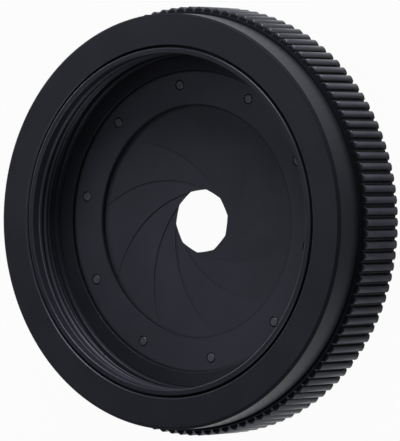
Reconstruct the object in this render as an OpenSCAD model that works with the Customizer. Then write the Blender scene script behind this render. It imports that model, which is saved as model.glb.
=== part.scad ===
// Iris diaphragm with ten blades, a knurled control ring and screw mounts at both ends.
// The optical axis is +Z and the front faces up. The origin is on the axis, at the end of the rear spigot.

/* [Barrel] */
// Radius of the smooth front band
barrel_r = 25.35; // [25.1:0.05:25.5]
// Front face above the shoulder that the rear cover makes
barrel_front = 11.85; // [11.5:0.05:12.5]
// Width of the smooth front band along the axis
band_w = 4.02; // [3:0.01:5]
// Radius of the seat that the control ring turns on
ring_seat_r = 23.6; // [23.6:0.05:23.8]
// Radius of the chamber that holds the blades and the rotor
chamber_r = 20.1; // [20.05:0.05:20.2]

/* [Front thread and rings] */
// Crest radius of the coarse thread inside the barrel
thread_minor_r = 20.46; // [20.3:0.01:20.6]
// Outer radius of the lip ring
lip_r = 21.43; // [21.3:0.01:21.5]
// Length of the lip ring
lip_w = 1.45; // [1.4:0.05:2.2]
// Bore radius of the ring that holds the pivot plate
retainer_bore_r = 18.5; // [18.4:0.05:18.7]

/* [Iris] */
// Radius of the full opening, which is also the inner edge of every blade
open_r = 14.22; // [14.1:0.01:14.3]
// Number of blades
blades = 10; // [10:1:10]
// Radius of the circle of pivot pins
pivot_r = 16.87; // [16.8:0.01:16.9]
// Place of the first pivot, measured from +X
first_pivot = 26.03; // [0:0.01:36]
// How far each blade is swung in from fully open
swing = 36; // [20:0.5:37]
// Blade thickness
blade_t = 0.04; // [0.03:0.005:0.04]
// Lean of each blade, which lets the blades lie over one another
blade_lean = 2.25; // [2.2:0.05:2.3]
// Diameter of the pivot pins
pivot_pin_d = 1.05; // [0.9:0.05:1.1]
// Diameter of the drive pins
drive_pin_d = 0.9; // [0.7:0.05:0.9]

/* [Control ring] */
// Radius over the rib tips
ring_tip_r = 26.27; // [26:0.01:26.4]
// Number of ribs
ribs = 120; // [90:2:126]
// Radius of each rounded rib
rib_r = 0.5; // [0.4:0.02:0.5]
// Blade swing for each degree that the ring turns
blade_per_ring = 0.505; // [0.5:0.001:0.51]

/* [Rear mount] */
// Major radius of the rear thread
spigot_r = 21; // [20.9:0.05:21]
// Length of the rear spigot
spigot_len = 4.5; // [3.5:0.1:6]
// Number of cover screws
cover_screw_count = 6; // [3:1:8]

/* [Hidden] */
$fn = 96;
eps = 0.01;
FINE = 24;      // facets of small rounds in a preview
hand = -1;      // the blades close clockwise, seen from the front
open_swing_max = 37;

// heights along the axis, from the end of the spigot
shoulder_z = spigot_len;
front_z = shoulder_z + barrel_front;
band_z = front_z - band_w;
ring_rear_z = shoulder_z + 0.3;
plate_front_z = shoulder_z + 5.9;
plate_t = 0.6;
plate_rear_z = plate_front_z - plate_t;
retainer_front_z = plate_front_z + 0.5;
ledge_z = plate_front_z + 1.12;
thread_rear_z = plate_front_z + 2.6;
thread_relief_r = 21.05;
lip_front_z = front_z + 0.1;
lip_rear_z = lip_front_z - lip_w;
blade_front_z = plate_rear_z - 0.12;
rotor_front_z = plate_rear_z - 1.6;
rotor_t = 1.6;
rotor_rear_z = rotor_front_z - rotor_t;
washer_gap = 0.4;
boss_z = rotor_rear_z - washer_gap;
barrel_rear_z = shoulder_z + 1.1;
drive_z = rotor_front_z - rotor_t / 2;

// running clearances
turn_gap = 0.05;
seat_gap = 0.02;

// plate and its rings
plate_r = 20.36;
pin_hole_d = pivot_pin_d + 0.25;
edge = 0.2;

// blade outline, laid round the axis as when fully open, with its pivot on +X
drive_r = 17.71;
half_throw = 20;
crank = pivot_r * cos(half_throw) + sqrt(pow(drive_r, 2) - pow(pivot_r * sin(half_throw), 2));
drive_pos = [pivot_r - crank * cos(half_throw), hand * crank * sin(half_throw)];
blade_outer_r = 19.85;
blade_outer_shift = 1.94;
blade_outer_dir = 9;
blade_start = 4;
relief_from = 88;
relief_shift = 6.85;
pivot_pad_r = 1.74;
drive_pad_r = 1.33;
lean_dir = 150.6;
blade_pitch = 360 / blades;

// rotor slots: the pin swings a little either side of a radial line while the ring turns evenly
function pin_place(phi) = [pivot_r - crank * cos(phi - half_throw), -crank * sin(phi - half_throw)];
function pin_angle(phi) = (atan2(pin_place(phi)[1], pin_place(phi)[0]) + 360) % 360;
function pin_in_rotor(phi) = pin_angle(phi) - (phi - swing) / blade_per_ring;
pin_track = [for (phi = [0:1:open_swing_max]) pin_in_rotor(phi)];
slot_dir = (max(pin_track) + min(pin_track)) / 2;
slot_play = drive_r * sin((max(pin_track) - min(pin_track)) / 2);
slot_w = drive_pin_d + 2 * slot_play + 0.12;
slot_in = crank - pivot_r;
slot_out = drive_r;

// rotor and its drive
rotor_bore_r = open_r + 0.1;
rotor_r = chamber_r - 0.06;
drive_dir = 180;
dog_d = 1;
dog_in_r = rotor_r - 1.2;
drive_screw_d = 1.6;
arc_slot_h = dog_d + 0.1;
turn_open = swing / blade_per_ring;
turn_shut = (open_swing_max - swing) / blade_per_ring;

// control ring
ring_bore_r = ring_seat_r + turn_gap;
ring_front_z = band_z - turn_gap;
ring_root_r = ring_tip_r - 0.6;
rib_chamfer = 0.35;
flange_r = 24.4;
recess_r = flange_r + turn_gap;
recess_z = barrel_rear_z + turn_gap;

// rear cover
cover_bore_r = open_r + 0.28;
cover_recess_r = 19;
cover_floor_z = shoulder_z + 0.4;
spigot_relief_r = 20.2;
spigot_relief_w = 0.8;
screw_ring_r = 22.35;
screw_d = 1.4;
screw_head_d = 2.5;
screw_head_h = 0.7;
screw_len = 1.9;

function pad2(k) = str(k < 10 ? "0" : "", k);
function names(what) = [for (k = [1:blades]) str(what, pad2(k))];

// A ring cut square: inner radius, outer radius, bottom and top.
module band(r_in, r_out, z0, z1) {
    rotate_extrude() translate([r_in, z0]) square([r_out - r_in, z1 - z0]);
}

// Holes or pegs standing on a circle of radius r at height z.
module round_pattern(count, r, z, start = 0) {
    for (i = [0:count - 1])
        rotate([0, 0, start + i * 360 / count]) translate([r, 0, z]) children();
}

// Housing: front band, stepped bore with the thread, chamber for the iris and seat for the control ring.
module front_barrel() {
    face_break = 0.3;
    face_in_r = lip_r + 0.52;
    groove_r = lip_r + 0.42;
    groove_break = 0.1;
    groove_z = front_z - 0.5;
    relief_slope = 0.3;
    hole_d = screw_d + 2 * seat_gap;
    hole_h = screw_len - (barrel_rear_z - shoulder_z) + 0.15;
    color("#2b2d31") difference() {
        rotate_extrude() polygon([
            [chamber_r, barrel_rear_z], [ring_seat_r - edge, barrel_rear_z],
            [ring_seat_r, barrel_rear_z + edge], [ring_seat_r, band_z],
            [barrel_r, band_z], [barrel_r, front_z - face_break], [barrel_r - face_break, front_z],
            [face_in_r, front_z], [groove_r, front_z - groove_break], [groove_r, groove_z],
            [lip_r + seat_gap, groove_z], [lip_r + seat_gap, lip_rear_z],
            [thread_minor_r, lip_rear_z], [thread_minor_r, thread_rear_z],
            [thread_relief_r, thread_rear_z - relief_slope], [thread_relief_r, ledge_z + edge],
            [thread_minor_r, ledge_z + edge], [thread_minor_r, ledge_z],
            [plate_r + seat_gap, ledge_z], [plate_r + seat_gap, plate_rear_z], [chamber_r, plate_rear_z]]);
        arc_slot();
        round_pattern(cover_screw_count, screw_ring_r, barrel_rear_z - eps)
            cylinder(d = hole_d, h = hole_h, $fn = FINE);
    }
}

// Slot round the barrel wall. Its ends stop the drive screw at each end of its travel.
module arc_slot() {
    from = drive_dir - turn_shut;
    span = turn_open + turn_shut;
    rotate([0, 0, from]) rotate_extrude(angle = span)
        translate([chamber_r - 1, drive_z - arc_slot_h / 2]) square([6, arc_slot_h]);
    for (a = [from, from + span])
        rotate([0, 0, a]) translate([chamber_r - 1, 0, drive_z]) rotate([0, 90, 0])
            cylinder(d = arc_slot_h, h = 6, $fn = FINE);
}

// Thin ring let into the front of the barrel, standing just proud of the front face.
module front_lip_ring() {
    soft = 0.25;
    color("#34363b") rotate_extrude() polygon([
        [thread_minor_r, lip_rear_z], [lip_r, lip_rear_z], [lip_r, lip_front_z - soft],
        [lip_r - soft, lip_front_z], [thread_minor_r + soft, lip_front_z],
        [thread_minor_r, lip_front_z - soft]]);
}

// Narrow ring that holds the pivot plate down on its ledge.
module plate_retaining_ring() {
    soft = 0.08;
    color("#26282c") rotate_extrude() polygon([
        [retainer_bore_r, plate_front_z], [plate_r, plate_front_z], [plate_r, retainer_front_z],
        [retainer_bore_r + soft, retainer_front_z], [retainer_bore_r, retainer_front_z - soft]]);
}

// Flat washer with the clear opening and one hole for each blade's pivot pin.
module pivot_plate() {
    soft = 0.08;
    color("#303238") difference() {
        rotate_extrude() polygon([
            [open_r, plate_rear_z], [plate_r, plate_rear_z], [plate_r, plate_front_z],
            [open_r + soft, plate_front_z], [open_r, plate_front_z - soft]]);
        round_pattern(blades, pivot_r, plate_rear_z - 1, first_pivot)
            cylinder(d = pin_hole_d, h = plate_t + 2);
    }
}

// Rear cover: flange that keeps the control ring on, boss behind the rotor, and the threaded spigot.
module rear_cover() {
    boss_r = chamber_r - seat_gap;
    color("#2b2d31") difference() {
        rotate_extrude() polygon([
            [cover_recess_r, 0], [spigot_r - 0.4, 0], [spigot_r, 0.4],
            [spigot_r, shoulder_z - spigot_relief_w], [spigot_relief_r, shoulder_z - spigot_relief_w],
            [spigot_relief_r, shoulder_z], [flange_r - edge, shoulder_z], [flange_r, shoulder_z + edge],
            [flange_r, barrel_rear_z], [boss_r, barrel_rear_z], [boss_r, boss_z],
            [cover_bore_r, boss_z], [cover_bore_r, cover_floor_z + edge],
            [cover_bore_r + edge, cover_floor_z], [cover_recess_r, cover_floor_z]]);
        round_pattern(cover_screw_count, screw_ring_r, shoulder_z) cover_screw_solid();
    }
}

// Countersunk screw, head down at z = 0 and thread upwards.
module cover_screw_solid() {
    cylinder(d1 = screw_head_d, d2 = screw_d, h = screw_head_h, $fn = FINE);
    cylinder(d = screw_d, h = screw_len, $fn = FINE);
}

// The countersunk screws, each with a plain driver slot.
module cover_screws() {
    color("#55585e") round_pattern(cover_screw_count, screw_ring_r, shoulder_z) difference() {
        cover_screw_solid();
        translate([-screw_head_d, -0.18, -eps]) cube([2 * screw_head_d, 0.36, 0.35]);
    }
}

// Spring washer with three waves, between the boss and the rotor.
module wave_washer() {
    waves = 3;
    steps = 72;
    t = 0.12;
    inner = 15.6;
    outer = 18.4;
    lift = washer_gap - t - 0.04;
    function low(i) = boss_z + 0.02 + lift * (1 - cos(waves * i * 360 / steps)) / 2;
    function corner(r, i, z) = [r * cos(i * 360 / steps), r * sin(i * 360 / steps), z];
    points = [for (i = [0:steps - 1])
        each [corner(inner, i, low(i)), corner(outer, i, low(i)),
              corner(outer, i, low(i) + t), corner(inner, i, low(i) + t)]];
    faces = [for (i = [0:steps - 1], j = [0:3])
        each let(a = 4 * i + j, b = 4 * i + (j + 1) % 4,
                 c = 4 * ((i + 1) % steps) + (j + 1) % 4, d = 4 * ((i + 1) % steps) + j)
            [[a, b, c], [a, c, d]]];
    color("#8c8f94") polyhedron(points, faces);
}

// Control ring with straight rounded ribs, chamfered at both ends, a seat bore and a recess for the flange.
module control_ring() {
    height = ring_front_z - ring_rear_z;
    color("#26282c") difference() {
        intersection() {
            translate([0, 0, ring_rear_z]) linear_extrude(height) {
                circle(r = ring_root_r);
                for (i = [0:ribs - 1])
                    rotate(i * 360 / ribs) translate([ring_tip_r - rib_r, 0]) circle(r = rib_r, $fn = FINE);
            }
            rotate_extrude() polygon([
                [0, ring_rear_z], [ring_tip_r - rib_chamfer, ring_rear_z],
                [ring_tip_r + eps, ring_rear_z + rib_chamfer], [ring_tip_r + eps, ring_front_z - rib_chamfer],
                [ring_tip_r - rib_chamfer, ring_front_z], [0, ring_front_z]]);
        }
        translate([0, 0, ring_rear_z - 1]) cylinder(r = ring_bore_r, h = height + 2);
        translate([0, 0, ring_rear_z - 1]) cylinder(r = recess_r, h = recess_z - ring_rear_z + 1);
        rotate([0, 0, drive_dir]) translate([ring_bore_r - 1, 0, drive_z]) rotate([0, 90, 0])
            cylinder(d = drive_screw_d, h = 5, $fn = FINE);
    }
}

// Rotor: flat ring with a radial slot for each drive pin and a hole in its edge for the drive screw.
module slotted_rotor() {
    color("#6d6a60") difference() {
        band(rotor_bore_r, rotor_r, rotor_rear_z, rotor_front_z);
        for (k = [0:blades - 1])
            rotate([0, 0, first_pivot + k * blade_pitch + hand * slot_dir])
                translate([0, 0, rotor_rear_z - 1]) linear_extrude(rotor_t + 2) radial_slot();
        rotate([0, 0, drive_dir]) translate([dog_in_r, 0, drive_z]) rotate([0, 90, 0])
            cylinder(d = dog_d, h = 3, $fn = FINE);
    }
}

// Flat outline of one radial slot with round ends.
module radial_slot() {
    translate([slot_in, -slot_w / 2]) square([slot_out - slot_in, slot_w]);
    for (r = [slot_in, slot_out]) translate([r, 0]) circle(d = slot_w, $fn = 48);
}

// Set screw in the control ring, with a long dog point that reaches the rotor's edge.
module drive_screw() {
    head_r = ring_root_r - 0.25;
    color("#55585e") rotate([0, 0, drive_dir]) difference() {
        union() {
            translate([ring_bore_r, 0, drive_z]) rotate([0, 90, 0])
                cylinder(d = drive_screw_d, h = head_r - ring_bore_r, $fn = FINE);
            translate([dog_in_r, 0, drive_z]) rotate([0, 90, 0])
                cylinder(d = dog_d, h = head_r - dog_in_r - 0.1, $fn = FINE);
        }
        translate([head_r - 0.45, -0.15, drive_z - drive_screw_d]) cube([1, 0.3, 2 * drive_screw_d]);
    }
}

// Puts children, drawn in the open pose with the pivot on +X, in blade k's place at the chosen swing.
module blade_place(k) {
    rotate([0, 0, first_pivot + k * blade_pitch])
        translate([pivot_r, 0, 0]) rotate([0, 0, hand * swing]) translate([-pivot_r, 0, 0]) children();
}

// Flat outline of a blade: a crescent with the pivot pad at one end and a slimmer drive arm at the other.
module blade_outline() {
    relief_dir = hand * (relief_from + 180);
    difference() {
        union() {
            difference() {
                intersection() {
                    translate(blade_outer_shift * [cos(blade_outer_dir), hand * sin(blade_outer_dir)])
                        circle(r = blade_outer_r - blade_outer_shift);
                    polygon([[0, 0], 2 * blade_outer_r * [cos(blade_start), hand * sin(blade_start)],
                             [2 * blade_outer_r, hand * 2 * blade_outer_r],
                             [2 * drive_pos[0], hand * 2 * blade_outer_r], 2 * drive_pos]);
                }
                intersection() {
                    translate(relief_shift * [cos(relief_dir), sin(relief_dir)])
                        circle(r = open_r + relief_shift);
                    rotate(hand * relief_from) translate([0, hand > 0 ? 0 : -50]) square(50);
                }
            }
            translate([pivot_r, 0]) circle(r = pivot_pad_r, $fn = 48);
            translate(drive_pos) circle(r = drive_pad_r, $fn = 48);
        }
        circle(r = open_r);
    }
}

// One blade of thin sheet, leaning from its pivot down to its drive end, with a hole for each pin.
module blade(k) {
    color("#3a3c41") blade_place(k) difference() {
        translate([pivot_r, 0, blade_front_z]) rotate([0, 0, hand * lean_dir]) rotate([0, blade_lean, 0])
            rotate([0, 0, -hand * lean_dir]) translate([-pivot_r, 0, -blade_t])
                linear_extrude(blade_t) blade_outline();
        translate([pivot_r, 0, blade_front_z - 1]) cylinder(d = pivot_pin_d, h = 2, $fn = FINE);
        translate([drive_pos[0], drive_pos[1], rotor_front_z - 0.5])
            cylinder(d = drive_pin_d, h = 2, $fn = FINE);
    }
}

// Pin riveted in a blade's front end, flush with the front of the pivot plate.
module pivot_pin(k) {
    bottom = blade_front_z - blade_t - 0.03;
    color("#7b7e84") blade_place(k) translate([pivot_r, 0, bottom])
        cylinder(d = pivot_pin_d, h = plate_front_z - bottom, $fn = FINE);
}

// Pin riveted in a blade's rear end, reaching into the rotor's slot.
module drive_pin(k) {
    bottom = rotor_rear_z + 0.5;
    top = blade_front_z - tan(blade_lean) * crank * cos(180 - half_throw - lean_dir) + 0.02;
    color("#7b7e84") blade_place(k) translate([drive_pos[0], drive_pos[1], bottom])
        cylinder(d = drive_pin_d, h = top - bottom, $fn = FINE);
}

front_barrel();
front_lip_ring();
plate_retaining_ring();
pivot_plate();
rear_cover();
cover_screws();
wave_washer();
control_ring();
slotted_rotor();
drive_screw();
for (k = [0:blades - 1]) {
    blade(k);
    pivot_pin(k);
    drive_pin(k);
}
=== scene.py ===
"""An iris diaphragm with ten blades, standing on its rear mount on a white studio floor."""
from math import cos, pi, radians, sin

import bpy
import numpy as np
from mathutils import Matrix, Vector


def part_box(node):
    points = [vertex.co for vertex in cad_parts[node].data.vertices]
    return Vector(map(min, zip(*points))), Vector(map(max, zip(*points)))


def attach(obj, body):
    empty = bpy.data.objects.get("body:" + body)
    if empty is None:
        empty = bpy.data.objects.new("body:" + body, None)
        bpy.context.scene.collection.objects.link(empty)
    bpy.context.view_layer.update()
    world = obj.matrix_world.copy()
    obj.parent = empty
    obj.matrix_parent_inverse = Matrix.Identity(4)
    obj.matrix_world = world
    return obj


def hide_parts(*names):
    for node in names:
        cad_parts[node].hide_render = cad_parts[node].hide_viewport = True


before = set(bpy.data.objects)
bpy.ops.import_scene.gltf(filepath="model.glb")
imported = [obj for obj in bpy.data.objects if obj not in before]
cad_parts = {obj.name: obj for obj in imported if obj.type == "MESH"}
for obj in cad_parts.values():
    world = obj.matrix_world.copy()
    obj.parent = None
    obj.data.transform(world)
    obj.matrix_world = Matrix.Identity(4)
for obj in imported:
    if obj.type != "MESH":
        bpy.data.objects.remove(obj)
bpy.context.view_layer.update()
MM = 0.001


# --- Camera ------------------------------------------------------------------------------------
# A long lens looks at the middle of the pivot plate from the front right, a little above the
# axis. The image's up is +Y, so the part looks as if it stands on its edge.
camera_turn = radians(35.607)
camera_rise = radians(0.745)
camera_away = 585.75 * MM
camera_slide = (0.596 * MM, 0.067 * MM)
lens_mm = 390.07
sensor_mm = 36.0

to_right = Vector((cos(camera_turn), 0, -sin(camera_turn)))
level = cos(camera_rise)
to_camera = Vector((sin(camera_turn) * level, sin(camera_rise), cos(camera_turn) * level))
to_top = to_camera.cross(to_right)
plate_front = Vector((0, 0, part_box("pivot_plate")[1][2]))
lens = bpy.data.cameras.new("camera")
lens.sensor_fit = "VERTICAL"
lens.sensor_height = sensor_mm
lens.lens = lens_mm
lens.clip_start = 0.01
camera = bpy.data.objects.new("camera", lens)
bpy.context.collection.objects.link(camera)
aside = to_right * camera_slide[0] + to_top * camera_slide[1]
camera_place = Matrix.Translation(plate_front + aside + to_camera * camera_away)
camera_axes = Matrix((to_right, to_top, to_camera)).transposed().to_4x4()
camera.matrix_world = camera_place @ camera_axes
bpy.context.scene.camera = camera


# --- Front barrel ------------------------------------------------------------------------------
# The housing is turned from aluminium bar and black anodised. Its bore is stepped: a lip ring at
# the front, a 1 mm pitch screw thread with a relief behind it, and the seat of the pivot plate.
# An arc slot in its wall lets the drive screw through.
def reach(node):
    """Outer radius, rear height and front height of a node that is round about the axis, in mm."""
    low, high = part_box(node)
    return high[0] / MM, low[2] / MM, high[2] / MM


barrel_r, barrel_rear, barrel_front = reach("front_barrel")
lip_r, lip_rear, lip_front = reach("front_lip_ring")
plate_r, plate_rear, plate_top = reach("pivot_plate")
ring_tip_r, ring_rear, ring_front = reach("control_ring")
_, rotor_rear, rotor_top = reach("slotted_rotor")

thread_crest_r = 20.46
thread_pitch = 1.0
thread_phase = 0.14
thread_depth = 0.541
thread_rear = plate_top + 2.6
relief_r = 21.05
relief_rear = plate_top + 1.32
relief_slope = 0.25
thread_start = 0.05
thread_fade = 0.25
ledge = plate_top + 1.12
fit_gap = 0.02
lip_lead_in = 0.12
front_chamfer = 0.3
# Length of the painted shadow on the band in front of the control ring.
band_painted_shadow_length = 1.7
chamber_r = 20.1
seat_r = 23.6
shoulder = ring_front + 0.05
barrel_steps = 480
slot_height = 1.1
slot_angles = (radians(178), radians(251.3))
drive_z = (rotor_rear + rotor_top) / 2


def rounded(corners, arc_steps=5):
    """Rounds a closed outline of (radius, height, fillet). Each fillet is an arc that touches both
    sides, and a point just past each end of it keeps the sides' shading flat.
    Returns the points and, for each, 1 on a fillet and 0 on a side."""
    corners = np.array(corners, float)
    here, fillet = corners[:, :2], corners[:, 2]
    points, worn_and_lit = [], []
    for i, corner in enumerate(here):
        back = here[i - 1] - corner
        ahead = here[(i + 1) % len(here)] - corner
        back_len, ahead_len = np.hypot(*back), np.hypot(*ahead)
        back, ahead = back / back_len, ahead / ahead_len
        half = np.arccos(np.clip(back @ ahead, -1, 1)) / 2
        touch = min(fillet[i] / np.tan(half), 0.42 * back_len, 0.42 * ahead_len)
        arc_r = touch * np.tan(half)
        bisector = (back + ahead) / np.hypot(*(back + ahead))
        centre = corner + bisector * arc_r / np.sin(half)
        start, end = corner + back * touch - centre, corner + ahead * touch - centre
        turn = np.arctan2(start[0] * end[1] - start[1] * end[0], start @ end)
        angle = turn * np.linspace(0, 1, arc_steps + 1)
        arc = np.outer(np.cos(angle), start) + np.outer(np.sin(angle), [-start[1], start[0]]) + centre
        pad = min(0.35 * arc_r, 0.05 * back_len, 0.05 * ahead_len)
        points += [corner + back * (touch + pad), *arc, corner + ahead * (touch + pad)]
        worn_and_lit += [0] + [1] * (arc_steps + 1) + [0]
    return np.array(points), np.array(worn_and_lit, float)


def dense(points, worn_and_lit, z_from, z_to, step):
    """Adds even points, one every step, on each upright side of an outline between two heights."""
    out, wear = [], []
    for i, point in enumerate(points):
        out.append(point)
        wear.append(worn_and_lit[i])
        after = points[(i + 1) % len(points)]
        low, high = sorted((point[1], after[1]))
        if abs(after[0] - point[0]) < 1e-6 and high > z_from and low < z_to and high - low > step:
            count = int((high - low) / step)
            t = np.arange(1, count)[:, None] / count
            out += list(point + (after - point) * t)
            wear += [0.0] * (count - 1)
    return np.array(out), np.array(wear)


def turned(points, angles):
    """Carries an outline of (radius, height) round the axis: one row of points for each angle."""
    r, z = points[None, :, 0], points[None, :, 1]
    across = np.broadcast_to(z, (len(angles), points.shape[0]))
    return np.stack([r * np.cos(angles[:, None]), r * np.sin(angles[:, None]), across], axis=-1)


def thread_cut(height, angle, depth):
    """Depth of a 60 degree thread: nothing on the crest, rising along straight flanks to a flat root.
    The place in the pitch is the height less the part of a turn made so far. Also gives a value of
    painted light: a painted highlight on the crest's edge of the flank that faces forward, and
    painted shade below 0 in the root and behind."""
    place = np.mod(height / thread_pitch - angle / (2 * pi) - thread_phase, 1.0) - 0.5
    half_root = thread_pitch / 16
    flank = depth * np.tan(radians(30))
    cut = np.clip((half_root + flank - np.abs(place) * thread_pitch) / flank, 0, 1)
    # Painted highlight along the forward flank; painted shade in the root and behind it.
    flank_painted_highlight = 0.3 * np.exp(-((place + 0.31) / 0.07) ** 2)
    return depth * cut, flank_painted_highlight - np.clip(1.5 * cut, 0, 1) * np.clip((place + 0.3) / 0.12, 0, 1)


def mesh_of(name, grid, wear=None, closed=(True, True)):
    """Makes a piece of a grid of points in mm. Neighbouring points make four-sided faces, and a
    closed direction joins its last points to its first. Rows that stay open fold back on
    themselves, and their two ends are filled by strips; open columns are filled by flat caps."""
    rows, columns = grid.shape[:2]
    index = np.arange(rows * columns).reshape(rows, columns)
    caps = [] if closed[1] else [index[::-1, 0].tolist(), index[:, -1].tolist()]
    if closed[0]:
        index = np.vstack([index, index[:1]])
    else:
        j = np.arange(columns // 2 - 1)
        strip = np.stack([j, columns - 1 - j, columns - 2 - j, j + 1], axis=-1)
        caps += strip.tolist() + (strip[:, ::-1] + (rows - 1) * columns).tolist()
    if closed[1]:
        index = np.hstack([index, index[:, :1]])
    faces = np.stack([index[:-1, :-1], index[1:, :-1], index[1:, 1:], index[:-1, 1:]], axis=-1)
    return solid(name, grid.reshape(-1, 3), faces.reshape(-1, 4).tolist() + caps, wear)


def solid(name, points, faces, wear=None):
    """Makes a smooth piece of points in mm and their faces, with each point's value of edge scuffing and
    painted light and shade.
    """
    mesh = bpy.data.meshes.new(name)
    mesh.from_pydata((np.asarray(points) * MM).tolist(), [], faces)
    mesh.polygons.foreach_set("use_smooth", np.ones(len(faces), bool))
    if wear is not None:
        layer = mesh.attributes.new("wear", "FLOAT", "POINT")
        layer.data.foreach_set("value", np.ravel(wear).astype(np.float32))
    piece = bpy.data.objects.new(name, mesh)
    bpy.context.collection.objects.link(piece)
    return piece


def cut_away(piece, cutter):
    """Takes the cutter's space out of a piece."""
    cut = piece.modifiers.new("cut", "BOOLEAN")
    cut.object = cutter
    cut.solver = "EXACT"
    bpy.context.view_layer.objects.active = piece
    bpy.ops.object.modifier_apply(modifier=cut.name)
    bpy.data.objects.remove(cutter)


def place(piece, body, slot, material, *nodes):
    """Gives a piece its material and the body it moves with, and hides the CAD nodes it stands for.
    The slot is not used.
    """
    piece.data.materials.clear()
    piece.data.materials.append(material)
    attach(piece, body)
    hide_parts(*nodes)


class Value:
    """A shader socket that can be used in sums. Colours and vectors go through make()."""

    def __init__(self, tree, socket):
        self.tree, self.socket = tree, socket

    def make(self, kind, settings=None, output=0, **inputs):
        """Adds a node of this type, sets its settings, then its sockets, and gives one output."""
        node = self.tree.nodes.new("ShaderNode" + kind)
        for key, setting in (settings or {}).items():
            if key == "stops":
                for stop, (position, colour) in zip(ramp_stops(node, len(setting)), setting):
                    stop.position, stop.color = position, colour
            else:
                setattr(node, key, setting)
        for key, value in inputs.items():
            socket = node.inputs[int(key[1:]) if key[0] == "_" else key.replace("_", " ")]
            if isinstance(value, Value):
                self.tree.links.new(value.socket, socket)
            else:
                socket.default_value = value
        return Value(self.tree, node.outputs[output])

    def math(self, operation, *values):
        return self.make("Math", {"operation": operation}, **{f"_{i}": v for i, v in enumerate(values)})

    def __add__(self, other):
        return self.math("ADD", self, other)

    def __radd__(self, other):
        return self.math("ADD", other, self)

    def __sub__(self, other):
        return self.math("SUBTRACT", self, other)

    def __rsub__(self, other):
        return self.math("SUBTRACT", other, self)

    def __mul__(self, other):
        return self.math("MULTIPLY", self, other)

    def __rmul__(self, other):
        return self.math("MULTIPLY", other, self)

    def __pow__(self, other):
        return self.math("POWER", self, other)


def ramp_stops(node, count):
    """The stops of a colour ramp, brought to this count."""
    stops = node.color_ramp.elements
    while len(stops) < count:
        stops.new(0.5)
    return stops


def new_material(name, metallic, specular):
    """An empty material: its Principled shader, and a Value to start expressions from."""
    material = bpy.data.materials.new(name)
    material.use_nodes = True
    shader = material.node_tree.nodes["Principled BSDF"]
    shader.inputs["Metallic"].default_value = metallic
    shader.inputs["Specular IOR Level"].default_value = specular
    shader.inputs["Specular Tint"].default_value = (0.8, 0.86, 1.0, 1.0)
    start = Value(material.node_tree, None)
    return material, shader, start


def feed(start, shader, **inputs):
    """Links values to the shader's sockets."""
    for key, value in inputs.items():
        start.tree.links.new(value.socket, shader.inputs[key.replace("_", " ")])


# Black for painted shade in grooves, gaps and recesses; pale grey for scuffed edges and painted highlights.
painted_shade_black = (0.001, 0.001, 0.001, 1)
scuffed_and_highlight_grey = (0.085, 0.09, 0.11, 1)


def anodised(name, dark, light, roughness, tool_marks=0.35, specular=0.3, painted_shade_rim=None):
    """Black anodised aluminium. The dye's depth drifts a little from place to place, a fine even
    grain comes from the etch, and faint rings come from the lathe tool. A point value above 0 makes
    the surface paler: scuffed edges, and painted highlights. Below 0 it is painted shade, which
    darkens the colour towards black. Given an inner and an outer radius, it paints shade on a flat
    ring at both of them."""
    material, shader, start = new_material(name, 0.0, specular)
    spot = start.make("TexCoord", output=3)
    x, y, z = (start.make("SeparateXYZ", output=i, _0=spot) for i in range(3))
    radius = (x * x + y * y) ** 0.5
    drift = start.make("TexNoise", Vector=spot, Scale=170.0, Detail=3.0, Roughness=0.6)
    grain = start.make("TexNoise", Vector=spot, Scale=9000.0, Detail=2.0, Roughness=0.5)
    rings = start.make("TexNoise", {"noise_dimensions": "1D"}, W=radius + z, Scale=7000.0,
                       Detail=2.0, Roughness=0.6)
    wear = start.make("Attribute", {"attribute_name": "wear"}, output=2)
    # Painted shade on a flat ring, at its inner and at its outer radius.
    if painted_shade_rim:
        soft = {"interpolation_type": "SMOOTHSTEP"}
        wear = start.make("MapRange", soft, Value=radius, From_Min=painted_shade_rim[0] * MM,
                          From_Max=(painted_shade_rim[0] + 0.25) * MM, To_Min=-0.8, To_Max=0.0)
        wear = wear + start.make("MapRange", soft, Value=radius, From_Min=(painted_shade_rim[1] - 0.35) * MM,
                                 From_Max=painted_shade_rim[1] * MM, To_Min=0.0, To_Max=-0.7)
    pale = (drift - 0.5) * 1.1 + 0.5
    dyed = start.make("Mix", {"data_type": "RGBA"}, output=2, _0=pale, _6=dark, _7=light)
    # Values below 0 are painted shade: the colour goes towards black.
    base = start.make("Mix", {"data_type": "RGBA"}, output=2, _0=wear * -0.9, _6=dyed, _7=painted_shade_black)
    # Values above 0 pale the colour: scuffed edges, and painted highlights.
    worn_and_lit = start.make("Mix", {"data_type": "RGBA"}, output=2, _0=wear * (0.25 + 0.5 * drift), _6=base,
                      _7=scuffed_and_highlight_grey)
    relief = rings * tool_marks + grain * 0.5
    bump = start.make("Bump", Strength=0.12, Distance=0.00002, Height=relief)
    # Painted shade also makes the surface rougher and partly metallic, so it shows less light.
    painted_shade = start.math("MAXIMUM", wear * -1, 0)
    dull = roughness + (grain - 0.5) * 0.16 + (drift - 0.5) * 0.12 + 0.4 * painted_shade
    feed(start, shader, Base_Color=worn_and_lit, Roughness=dull, Metallic=painted_shade * 0.85, Normal=bump)
    return material


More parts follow.
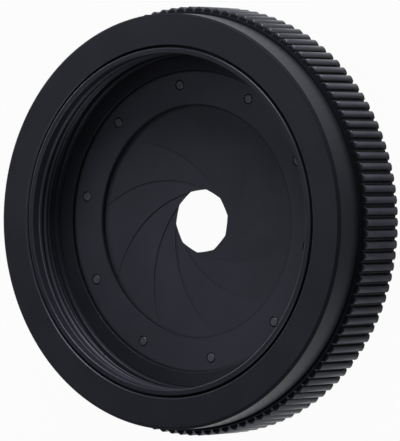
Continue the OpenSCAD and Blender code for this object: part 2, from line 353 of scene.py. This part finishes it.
full_turn = np.arange(barrel_steps) * 2 * pi / barrel_steps
barrel_outline, barrel_wear = rounded([
    (chamber_r, barrel_rear, 0.05), (seat_r, barrel_rear, 0.2),
    (seat_r, shoulder, 0.05), (barrel_r, shoulder, 0.12), (barrel_r, barrel_front - front_chamfer, 0.08),
    (barrel_r - front_chamfer, barrel_front, 0.08), (lip_r + fit_gap + lip_lead_in, barrel_front, 0.04),
    (lip_r + fit_gap, barrel_front - lip_lead_in, 0.04), (lip_r + fit_gap, lip_rear, 0.03),
    (thread_crest_r, lip_rear, 0.03),
    (thread_crest_r, thread_rear, 0.05), (relief_r, thread_rear - relief_slope, 0.05),
    (relief_r, relief_rear, 0.05), (thread_crest_r, relief_rear, 0.05),
    (thread_crest_r, ledge, 0.05), (plate_r + fit_gap, ledge, 0.03),
    (plate_r + fit_gap, plate_rear, 0.03), (chamber_r, plate_rear, 0.05)])
barrel_outline, barrel_wear = dense(barrel_outline, barrel_wear, thread_rear, lip_rear, thread_pitch / 20)
barrel_outline, barrel_wear = dense(barrel_outline, barrel_wear, shoulder + 0.3, shoulder + 2.0, 0.2)
barrel_grid = turned(barrel_outline, full_turn)
barrel_at_r, barrel_at_z = barrel_outline.T
on_thread = (np.abs(barrel_at_r - thread_crest_r) < 0.01) & (barrel_at_z >= thread_rear + thread_start)
to_end = np.minimum(barrel_at_z - thread_rear - thread_start, lip_rear - barrel_at_z)
run_out = np.clip(to_end / thread_fade, 0, 1)
cut_depth, thread_highlight_and_shade = thread_cut(barrel_at_z[None, :], full_turn[:, None], thread_depth)
cut_depth = cut_depth * (on_thread * run_out)[None, :]
edge_wear_and_shade = np.where(barrel_at_r < lip_r, 0.0, 1.0) * barrel_wear
on_band = barrel_at_r > barrel_r - 0.01
# Painted shadow on the band, darkest at the shoulder by the control ring and fading forward.
edge_wear_and_shade = edge_wear_and_shade - 0.9 * on_band * np.clip(1 - (barrel_at_z - shoulder) / band_painted_shadow_length, 0, 1) ** 2
past_chamfer = front_chamfer + 0.04
on_chamfer = (barrel_at_r > barrel_r - past_chamfer) & (barrel_at_z > barrel_front - past_chamfer)
# Painted shade on the front outer chamfer, dimming its highlight.
edge_wear_and_shade = np.where(on_chamfer, -0.7, edge_wear_and_shade)
barrel_grid[..., :2] *= 1 + cut_depth[..., None] / np.maximum(barrel_outline[None, :, :1], 1)
barrel = mesh_of("barrel", barrel_grid, edge_wear_and_shade[None, :] + thread_highlight_and_shade * (on_thread * run_out)[None, :])


def arc_block(name, inner, outer, low, high, angles, steps=60):
    """A block bent round the axis: a box of radii and heights carried from one angle to another,
    with its ends swept in to half rounds across the height."""
    across = np.linspace(-pi / 2, pi / 2, 9)
    side = np.sin(across) * (high - low) / 2 + (high + low) / 2
    reach_in = (1 - np.cos(across)) * (high - low) / 2 / inner
    along = np.linspace(0, 1, steps)
    start, end = angles[0] + reach_in, angles[1] - reach_in
    angle = start[None, :] + (end - start)[None, :] * along[:, None]
    heights = np.broadcast_to(side, angle.shape)
    shells = [np.stack([r * np.cos(angle), r * np.sin(angle), heights], axis=-1)
              for r in (inner, outer)]
    grid = np.concatenate([shells[0], shells[1][:, ::-1]], axis=1)
    return mesh_of(name, grid, closed=(False, True))


end_room = slot_height / 2 / chamber_r
cut_away(barrel, arc_block("arc_cutter", chamber_r - 1, seat_r + 1, drive_z - slot_height / 2,
                           drive_z + slot_height / 2, (slot_angles[0] - end_room, slot_angles[1] + end_room)))
barrel_black = anodised("barrel_black_anodising", (0.0072, 0.0078, 0.0098, 1),
                        (0.0128, 0.0137, 0.017, 1), 0.42)
place(barrel, "housing", "barrel_anodised", barrel_black, "front_barrel")


# --- Lip ring ----------------------------------------------------------------------------------
# A thin turned ring let into the front of the barrel and just proud of its face. A step round its
# front leaves a groove against the barrel, painted dark as shade, and a painted highlight line runs
# round its bore a little way in.
lip_step_r = 21.15
lip_step_h = 0.5
lip_round = 0.14
highlight_line_depth = 1.38
highlight_line_width = 0.12
lip_outline, lip_wear_and_light = rounded([
    (thread_crest_r, lip_rear, 0.03), (lip_r, lip_rear, 0.03), (lip_r, lip_front - lip_step_h, 0.04),
    (lip_step_r, lip_front - lip_step_h, 0.04), (lip_step_r, lip_front, lip_round),
    (thread_crest_r, lip_front, lip_round)], arc_steps=8)
lip_outline, lip_wear_and_light = dense(lip_outline, lip_wear_and_light, lip_rear, lip_front - lip_step_h, 0.05)
in_lip_bore = lip_outline[:, 0] < thread_crest_r + 0.01
# A painted highlight line round the bore; the bore's fillets get painted shade, and the outer fillets are
# scuffed paler.
bore_painted_highlight = 1.9 * np.exp(-((lip_front - lip_outline[:, 1] - highlight_line_depth) / highlight_line_width) ** 2)
lip_wear_and_light = np.where(in_lip_bore, bore_painted_highlight - 0.3 * lip_wear_and_light, 0.15 * lip_wear_and_light)
# Painted shade in the groove round the front step.
in_groove = (lip_outline[:, 0] > lip_step_r - 0.02) & (lip_outline[:, 1] < lip_front - lip_round)
lip_wear_and_light = np.where(in_groove, -0.65, lip_wear_and_light)
lip_ring = mesh_of("lip_ring", turned(lip_outline, full_turn),
                   np.broadcast_to(lip_wear_and_light, (barrel_steps, len(lip_wear_and_light))))
lip_black = anodised("lip_ring_black_anodising", (0.0095, 0.0102, 0.0128, 1),
                     (0.015, 0.016, 0.02, 1), 0.36)
place(lip_ring, "housing", "lip_ring_anodised", lip_black, "front_lip_ring")


# --- Plate retaining ring ----------------------------------------------------------------------
# A narrow turned ring pressed in behind the thread. It holds the pivot plate down on its seat.
retainer_r, retainer_rear, retainer_front = reach("plate_retaining_ring")
retainer_bore = 18.5
retainer_outline, _ = rounded([
    (retainer_bore, retainer_rear, 0.04), (retainer_r, retainer_rear, 0.04),
    (retainer_r, retainer_front, 0.06), (retainer_bore, retainer_front, 0.06)])
retainer_at_r, retainer_at_z = retainer_outline.T
# Painted shade down the ring's bore.
in_retainer_bore = (retainer_at_r < retainer_bore + 0.03) & (retainer_at_z < retainer_front - 0.03)
retainer_painted_shade = np.where(in_retainer_bore, -0.8, 0.0)
retainer = mesh_of("retaining_ring", turned(retainer_outline, full_turn),
                   np.broadcast_to(retainer_painted_shade, (barrel_steps, len(retainer_painted_shade))))
retainer_black = anodised("retainer_matt_black", (0.008, 0.0085, 0.0108, 1),
                          (0.0128, 0.0136, 0.017, 1), 0.5)
place(retainer, "housing", "retainer_anodised", retainer_black, "plate_retaining_ring")


# --- Pivot plate -------------------------------------------------------------------------------
# A flat washer, blackened matt all over. Its ten small holes are the bearings of the blades.
def dress(node, material):
    """Gives a CAD node a material of its own."""
    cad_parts[node].data.materials.clear()
    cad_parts[node].data.materials.append(material)


plate_opening = 14.22
sheet_dark = (0.0235, 0.0252, 0.031, 1)
sheet_light = (0.031, 0.0332, 0.0405, 1)
# Painted shade on the plate's face at its opening and at its outer edge under the retainer.
plate_black = anodised("pivot_plate_black", sheet_dark, sheet_light, 0.34, tool_marks=0.15,
                       specular=0.45, painted_shade_rim=(plate_opening, retainer_bore))
dress("pivot_plate", plate_black)


# --- Blades ------------------------------------------------------------------------------------
# Ten leaves stamped from very thin spring steel and blackened. They are matt.
def blackened_leaf(name):
    """Blackened thin sheet: an even matt black with a soft cloudiness and fine rolling lines."""
    material, shader, start = new_material(name, 0.0, 0.45)
    spot = start.make("TexCoord", output=3)
    cloud = start.make("TexNoise", Vector=spot, Scale=260.0, Detail=3.0, Roughness=0.55)
    grain = start.make("TexNoise", Vector=spot, Scale=11000.0, Detail=1.0, Roughness=0.5)
    base = start.make("Mix", {"data_type": "RGBA"}, output=2, _0=cloud, _6=sheet_dark, _7=sheet_light)
    bump = start.make("Bump", Strength=0.08, Distance=0.00002, Height=grain)
    feed(start, shader, Base_Color=base, Roughness=0.3 + (cloud - 0.5) * 0.1, Normal=bump)
    return material


leaf_black = blackened_leaf("blade_black")
blade_nodes = sorted(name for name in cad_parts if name.startswith("blade_"))
for node in blade_nodes:
    dress(node, leaf_black)


# --- Pivot and drive pins ----------------------------------------------------------------------
# Turned steel pins, riveted through each blade. The front end of a pivot pin is flush in its
# hole in the plate, and its blacking is rubbed thin.
def pin_steel(name, dark, light):
    """Blackened steel with its blacking rubbed thin in patches."""
    material, shader, start = new_material(name, 0.55, 0.5)
    spot = start.make("TexCoord", output=3)
    patch = start.make("TexNoise", Vector=spot, Scale=2600.0, Detail=3.0, Roughness=0.6)
    base = start.make("Mix", {"data_type": "RGBA"}, output=2, _0=patch, _6=dark, _7=light)
    bump = start.make("Bump", Strength=0.2, Distance=0.00002, Height=patch)
    feed(start, shader, Base_Color=base, Roughness=0.36 + 0.2 * patch, Normal=bump)
    return material


def round_pin(name, node, edge_break, steps=40):
    """A pin on the node's axis: an outline from the middle of one end, out, up and back to the
    middle of the other, carried round, with the outer edge of each end broken."""
    low, high = (np.array(corner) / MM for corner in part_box(node))
    middle, r = (low + high) / 2, (high[0] - low[0]) / 2
    edge = np.array([0, 0.12, 0.3, 0.5, 0.75, 1.0]) * pi / 2
    end_r, end_z = r - edge_break + edge_break * np.sin(edge), edge_break * (np.cos(edge) - 1)
    flat = r * np.array([0.4, 0.8])
    radii = np.concatenate([flat, end_r[:-1], [r], [r], end_r[::-1][1:], flat[::-1]])
    heights = np.concatenate([0 * flat + low[2], low[2] - end_z[:-1], [low[2] + edge_break],
                              [high[2] - edge_break], high[2] + end_z[::-1][1:], 0 * flat + high[2]])
    angles = np.arange(steps) * 2 * pi / steps
    grid = turned(np.stack([radii, heights], axis=-1), angles)
    grid[..., :2] += middle[:2]
    return mesh_of(name, grid, closed=(True, False))


pin_break = 0.06
pin_black = pin_steel("pin_worn_black", (0.055, 0.057, 0.066, 1), (0.12, 0.125, 0.14, 1))
for node in sorted(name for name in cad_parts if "_pin_" in name):
    kind, number = node.rsplit("_", 1)
    pin = round_pin(f"{kind}_turned_{number}", node, pin_break)
    place(pin, f"iris_blade_{number}", "pin_steel", pin_black, node)


# --- Rotor and wave washer ---------------------------------------------------------------------
# The rotor is turned brass, blackened so that it throws no light, with ten milled radial slots.
# The washer behind it is bright spring strip and gives the control ring its drag.
def sheet_metal(name, dark, light, roughness, metallic):
    """Plain metal with soft streaks along its turning."""
    material, shader, start = new_material(name, metallic, 0.5)
    spot = start.make("TexCoord", output=3)
    x, y, z = (start.make("SeparateXYZ", output=i, _0=spot) for i in range(3))
    rings = start.make("TexNoise", {"noise_dimensions": "1D"}, W=(x * x + y * y) ** 0.5 + z,
                       Scale=5200.0, Detail=3.0)
    base = start.make("Mix", {"data_type": "RGBA"}, output=2, _0=rings, _6=dark, _7=light)
    bump = start.make("Bump", Strength=0.15, Distance=0.00002, Height=rings)
    feed(start, shader, Base_Color=base, Roughness=roughness + (rings - 0.5) * 0.2, Normal=bump)
    return material


dress("slotted_rotor", sheet_metal("rotor_blackened_brass", (0.022, 0.02, 0.016, 1),
                                   (0.05, 0.043, 0.03, 1), 0.42, 0.5))
dress("wave_washer", sheet_metal("washer_spring_steel", (0.32, 0.32, 0.33, 1),
                                 (0.45, 0.45, 0.46, 1), 0.3, 1.0))


# --- Rear cover and its screws -----------------------------------------------------------------
# The cover closes the barrel from behind. It is turned in one piece with the male mount thread,
# and six countersunk screws hold it.
cover_r, cover_rear, cover_front = reach("rear_cover")
mount_r = 21.0
mount_shoulder = 4.5
mount_relief_r = 20.2
mount_bore = 19
mount_thread_top = mount_shoulder - 0.9
mount_thread_depth = 0.6
mount_fade = 0.3
cover_bore = 14.5
cover_floor = mount_shoulder + 0.4
boss_r = chamber_r - 0.02
screw_ring_r = 22.35
screw_head_r = 1.25
screw_r = 0.7
screw_head_h = 0.7
screw_length = 1.88
screw_count = 6
driver_reach = 2
driver_half = 0.18
driver_depth = 0.35
driver_below = 0.5
cover_outline, cover_wear = rounded([
    (mount_bore, cover_rear, 0.12), (mount_r, cover_rear, 0.4), (mount_r, mount_shoulder - 0.85, 0.05),
    (mount_relief_r, mount_shoulder - 0.7, 0.05), (mount_relief_r, mount_shoulder, 0.08),
    (cover_r, mount_shoulder, 0.2), (cover_r, barrel_rear, 0.05), (boss_r, barrel_rear, 0.05),
    (boss_r, cover_front, 0.05), (cover_bore, cover_front, 0.08), (cover_bore, cover_floor, 0.2),
    (mount_bore, cover_floor, 0.15)])
cover_outline, cover_wear = dense(cover_outline, cover_wear, cover_rear + 0.5, mount_thread_top,
                                  thread_pitch / 20)
cover_grid = turned(cover_outline, full_turn)
on_mount = np.abs(cover_outline[:, 0] - mount_r) < 0.01
to_end = np.minimum(cover_outline[:, 1] - cover_rear - 0.2, mount_thread_top - cover_outline[:, 1])
mount_run = np.clip(to_end / mount_fade, 0, 1)
mount_cut, _ = thread_cut(cover_outline[None, :, 1], full_turn[:, None], mount_thread_depth)
mount_cut = mount_cut * (on_mount * mount_run)[None, :]
cover_grid[..., :2] *= 1 - mount_cut[..., None] / np.maximum(cover_outline[None, :, :1], 1)
cover = mesh_of("rear_cover_turned", cover_grid, np.broadcast_to(cover_wear, cover_grid.shape[:2]))


def lathe_at(name, outline, centre, axis="Z", steps=40):
    """A small round piece: an outline carried round an axis, with a flat cap at each end."""
    angles = np.arange(steps) * 2 * pi / steps
    grid = turned(np.array(outline, float), angles)
    if axis == "-X":
        grid = np.stack([-grid[..., 2], grid[..., 1], grid[..., 0]], axis=-1)
    return mesh_of(name, grid + np.array(centre, float), closed=(True, False))


def countersunk(grow, length):
    """Outline of a countersunk screw, head down at height 0, made bigger all round by grow."""
    return [(screw_head_r + grow, -grow * 20), (screw_head_r + grow, 0.02), (screw_r + grow, screw_head_h),
            (screw_r + grow, length + grow)]


box_corners = np.array([[-1, -1, 0], [1, -1, 0], [1, 1, 0], [-1, 1, 0],
                        [-1, -1, 1], [1, -1, 1], [1, 1, 1], [-1, 1, 1]])
box_sides = [[0, 3, 2, 1], [4, 5, 6, 7], [0, 1, 5, 4], [1, 2, 6, 5], [2, 3, 7, 6], [3, 0, 4, 7]]
driver_size = (driver_reach, driver_half, driver_depth + driver_below)
driver_box = box_corners * driver_size - (0, 0, driver_below)
screws = []
for i in range(screw_count):
    angle = i * 2 * pi / screw_count
    centre = (screw_ring_r * cos(angle), screw_ring_r * sin(angle), mount_shoulder)
    cut_away(cover, lathe_at("countersink", countersunk(0.005, screw_length + 0.02), centre))
    screw = lathe_at(f"cover_screw_{i + 1}", countersunk(0.0, screw_length), centre)
    cut_away(screw, solid("driver_slot", driver_box + centre, box_sides))
    screws.append(screw)
cover_black = anodised("cover_black_anodising", (0.0105, 0.0113, 0.0142, 1),
                       (0.0178, 0.019, 0.0235, 1), 0.42)
place(cover, "housing", "cover_anodised", cover_black, "rear_cover")
screw_black = pin_steel("screw_black_oxide", (0.02, 0.02, 0.022, 1), (0.05, 0.05, 0.054, 1))
for screw in screws:
    for face in screw.data.polygons:
        face.use_smooth = False
    place(screw, "housing", "screw_black_steel", screw_black, "cover_screws")


# --- Control ring ------------------------------------------------------------------------------
# The ring that is turned by hand, between the front band and the cover's flange. Its straight ribs
# are rounded, chamfered at the rear, and run out at the front into a short neck. Painted shade
# darkens both chamfered ends of the ribs, the neck and the gaps between the ribs.
ribs = 120
rib_r = 0.5
rib_centre_r = ring_tip_r - rib_r
rib_root_r = ring_tip_r - 0.6
rib_chamfer = 0.35
rib_places = 14
neck_length = 0.5
neck_drop = 0.64
rib_run_out = 0.3
drive_hole_r = 0.805
drive_hole_span = (23, 28)
ring_bore = seat_r + 0.05
ring_recess_r = cover_r + 0.05
ring_recess_z = barrel_rear + 0.05

rib_half = pi / ribs
rib_edge = np.arcsin(rib_r / rib_centre_r) * 0.995
rib_floor = rib_edge + (rib_half - rib_edge) * 0.4
rib_angles = np.concatenate([rib_edge * np.sin(np.linspace(-1, 1, rib_places - 2) * pi / 2),
                             [rib_floor, 2 * rib_half - rib_floor]])
over_rib = rib_centre_r * np.cos(rib_angles) + np.sqrt(
    np.maximum(rib_r ** 2 - (rib_centre_r * np.sin(rib_angles)) ** 2, 0))
rib_height = np.where(np.abs(rib_angles) <= rib_edge, np.maximum(over_rib, rib_root_r), rib_root_r)
ring_angles = (np.arange(ribs)[:, None] * 2 * rib_half + rib_angles[None, :]).ravel()
ring_heights = np.tile(rib_height, ribs)

cone = np.linspace(0, 1, 8)
neck_ends = np.array([0.04, neck_length - 0.1, neck_length - 0.06, neck_length])
neck_rear = ring_front - neck_length
outer_z = np.concatenate([ring_rear + rib_chamfer * cone, neck_rear - rib_run_out * cone[::-1],
                          neck_rear + neck_ends])
outer_r = ring_tip_r - np.concatenate([rib_chamfer * (1 - cone), neck_drop * (1 - cone[::-1]),
                                       neck_drop + np.array([0, 0, 0.01, 0.1])])
inner = np.array([(ring_bore + 0.1, ring_front), (ring_bore, ring_front - 0.1), (ring_bore, ring_recess_z),
                  (ring_recess_r, ring_recess_z), (ring_recess_r, ring_rear + 0.05),
                  (ring_recess_r + 0.05, ring_rear)])
outside = np.minimum(ring_heights[:, None], outer_r[None, :])
inside = np.broadcast_to(inner[None, :, 0], (len(ring_angles), len(inner)))
radii = np.concatenate([outside, inside], axis=1)
heights = np.broadcast_to(np.concatenate([outer_z, inner[:, 1]]), radii.shape)
around = ring_angles[:, None]
ring_grid = np.stack([radii * np.cos(around), radii * np.sin(around), heights], axis=-1)
crest = np.clip((ring_heights - rib_root_r) / (ring_tip_r - rib_root_r), 0, 1)
# Painted shade on the rib ends and the neck, lighter painted shade in the gaps between ribs; the crests are
# scuffed paler.
end_painted_shade = np.clip((ring_tip_r - outer_r) / rib_chamfer, 0, 1)
rib_wear_and_shade = (0.6 * crest[:, None] ** 4 - 0.2 * (1 - crest[:, None])) * (1 - end_painted_shade) - end_painted_shade
ring_wear_and_shade = np.concatenate([np.maximum(rib_wear_and_shade, -1), 0 * inside], axis=1)
control_ring = mesh_of("control_ring_ribbed", ring_grid, ring_wear_and_shade)
drive_hole = [(drive_hole_r, depth) for depth in drive_hole_span]
cut_away(control_ring, lathe_at("screw_hole", drive_hole, (0, 0, drive_z), axis="-X"))
ring_black = anodised("control_ring_black_anodising", (0.0092, 0.0098, 0.0125, 1),
                      (0.0158, 0.0169, 0.0212, 1), 0.27, specular=0.4)
place(control_ring, "control", "control_ring_anodised", ring_black, "control_ring")
dress("drive_screw", screw_black)


# --- Floor, light and background ---------------------------------------------------------------
# A plain white floor under the part, and a white surround; seen in reflections, the floor has a
# painted dark strip along its middle. Four soft boxes light it: one above, one below, and two from
# the left.
def mixed(tree, factor, one, two):
    """A Mix Shader of two shaders."""
    node = tree.nodes.new("ShaderNodeMixShader")
    tree.links.new(factor.socket, node.inputs[0])
    tree.links.new(one, node.inputs[1])
    tree.links.new(two, node.inputs[2])
    return node.outputs[0]


floor_half = 1500
floor_z = -0.01
corners = np.array([[-1, -1, 0], [1, -1, 0], [1, 1, 0], [-1, 1, 0]]) * floor_half + [0, 0, floor_z]
floor = solid("floor", corners, [[0, 1, 2, 3]])
floor_white = bpy.data.materials.new("floor_white")
floor_white.use_nodes = True
floor_tree = floor_white.node_tree
floor_tree.nodes.clear()
start = Value(floor_tree, None)
seen = start.make("LightPath", output=0)
paint = floor_tree.nodes.new("ShaderNodeBsdfDiffuse")
paint.inputs["Color"].default_value = (0.25, 0.25, 0.25, 1)
glow = floor_tree.nodes.new("ShaderNodeEmission")
glow.inputs["Color"].default_value = (1, 1, 1, 1)
glow.inputs["Strength"].default_value = 1.0
surface = floor_tree.nodes.new("ShaderNodeOutputMaterial")
mirrored = start.make("LightPath", output=3)
spot = start.make("TexCoord", output=3)
from_middle = start.math("ABSOLUTE", start.make("SeparateXYZ", output=1, _0=spot))
# In reflections the floor glows only faintly within about 35 mm of the line y = 0: a painted dark strip,
# reflected in the band and ribs.
painted_reflection_ramp = start.make("MapRange", {"interpolation_type": "SMOOTHSTEP"}, Value=from_middle,
                  From_Min=0.005, From_Max=0.035)
lit = seen * 0.965 + mirrored * (0.05 + 0.9 * painted_reflection_ramp)
floor_look = mixed(floor_tree, lit, paint.outputs[0], glow.outputs[0])
floor_tree.links.new(floor_look, surface.inputs["Surface"])
floor.data.materials.append(floor_white)

world = bpy.data.worlds.new("surround")
bpy.context.scene.world = world
world.use_nodes = True
sky_tree = world.node_tree
sky_tree.nodes.clear()
direct = Value(sky_tree, None).make("LightPath", output=0)
sky = sky_tree.nodes.new("ShaderNodeBackground")
strength = 0.05 + direct * 0.95
sky_tree.links.new(strength.socket, sky.inputs["Strength"])
sky.inputs["Color"].default_value = (1, 1, 1, 1)
out = sky_tree.nodes.new("ShaderNodeOutputWorld")
sky_tree.links.new(sky.outputs[0], out.inputs["Surface"])


def soft_box(name, place_mm, size_mm, watts):
    """A square soft box that faces the part."""
    light = bpy.data.lights.new(name, "AREA")
    light.size = size_mm * MM
    light.energy = watts
    light.color = (0.96, 0.94, 1.0)
    box = bpy.data.objects.new(name, light)
    bpy.context.collection.objects.link(box)
    box.location = Vector(place_mm) * MM
    box.rotation_euler = (-box.location + plate_front).to_track_quat("-Z", "Y").to_euler()


soft_box("top_box", (120, 560, 230), 400, 7.0)
soft_box("low_box", (240, -530, 220), 400, 2.0)
soft_box("left_box", (-75, 95, 280), 220, 0.09)
soft_box("side_box", (-480, 190, 150), 300, 1.35)
bpy.context.scene.view_settings.view_transform = "Standard"
